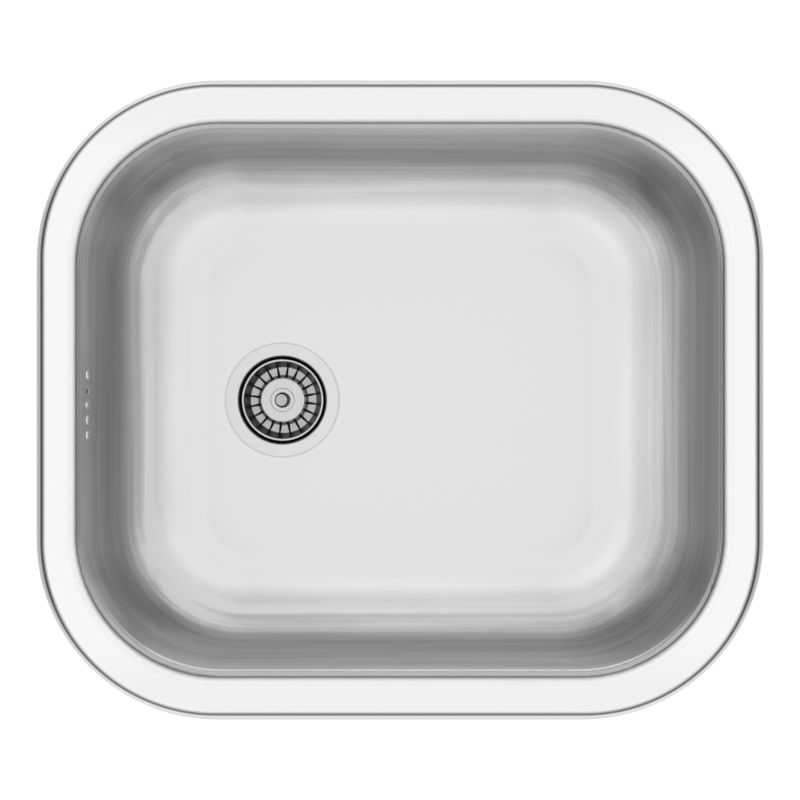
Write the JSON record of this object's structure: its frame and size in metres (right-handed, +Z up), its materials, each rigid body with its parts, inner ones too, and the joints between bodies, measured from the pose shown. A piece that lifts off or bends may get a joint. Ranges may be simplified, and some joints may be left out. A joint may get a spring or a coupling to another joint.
{
  "type": "undermount kitchen sink",
  "caption": "Single-bowl stainless kitchen sink with rounded corners, lift-out basket strainer, side overflow and plastic waste fitting.",
  "frame": {"origin": "centre of the rim's flat top face", "axes": "+X along the sink, to the right in the picture; +Y to the back, up in the picture; +Z up, out of the bowl"},
  "size_m": [0.58, 0.51, 0.253],
  "materials": {
    "bowl_steel": "satin drawn stainless",
    "strainer_steel": "bright satin stainless",
    "basket_steel": "bright satin stainless",
    "knob_steel": "turned stainless",
    "screw_steel": "machined stainless",
    "brass_insert": "plain turned brass",
    "body_plastic": "moulded white polypropylene",
    "pipe_plastic": "smooth white polypropylene",
    "black_plastic": "moulded black plastic",
    "sleeve_plastic": "natural white acetal",
    "black_rubber": "matte black rubber",
    "deadening_pad": "matte grey bitumen-rubber sheet"
  },
  "bodies": {
    "sink": {"sink_bowl": "bowl_steel", "floor_pad": "deadening_pad", "back_wall_pad": "deadening_pad", "front_wall_pad": "deadening_pad", "right_wall_pad": "deadening_pad", "drain_flange": "strainer_steel", "flange_gasket": "black_rubber", "lower_gasket": "black_rubber", "waste_body": "body_plastic", "waste_insert": "brass_insert", "centre_screw": "screw_steel", "overflow_head": "body_plastic", "overflow_gasket": "black_rubber", "overflow_screw": "screw_steel", "overflow_nut": "screw_steel", "overflow_pipe": "pipe_plastic", "upper_pipe_seal": "black_rubber", "upper_pipe_nut": "body_plastic", "lower_pipe_seal": "black_rubber", "lower_pipe_nut": "body_plastic"},
    "sleeve": {"detent_sleeve": "sleeve_plastic"},
    "basket": {"basket": "basket_steel", "basket_knob": "knob_steel", "basket_spindle": "screw_steel", "seal_carrier": "black_plastic", "basket_seal": "black_rubber", "spindle_nut": "screw_steel"}
  },
  "joints": [
    {"name": "basket_lift", "type": "slide", "parent": "sink", "child": "sleeve", "axis": [0, 0, 1], "range_m": [0, 0.24]},
    {"name": "basket_turn", "type": "hinge", "parent": "sleeve", "child": "basket", "pos_m": [-0.116, 0, -0.18], "axis": [0, 0, 1], "continuous": true}
  ]
}
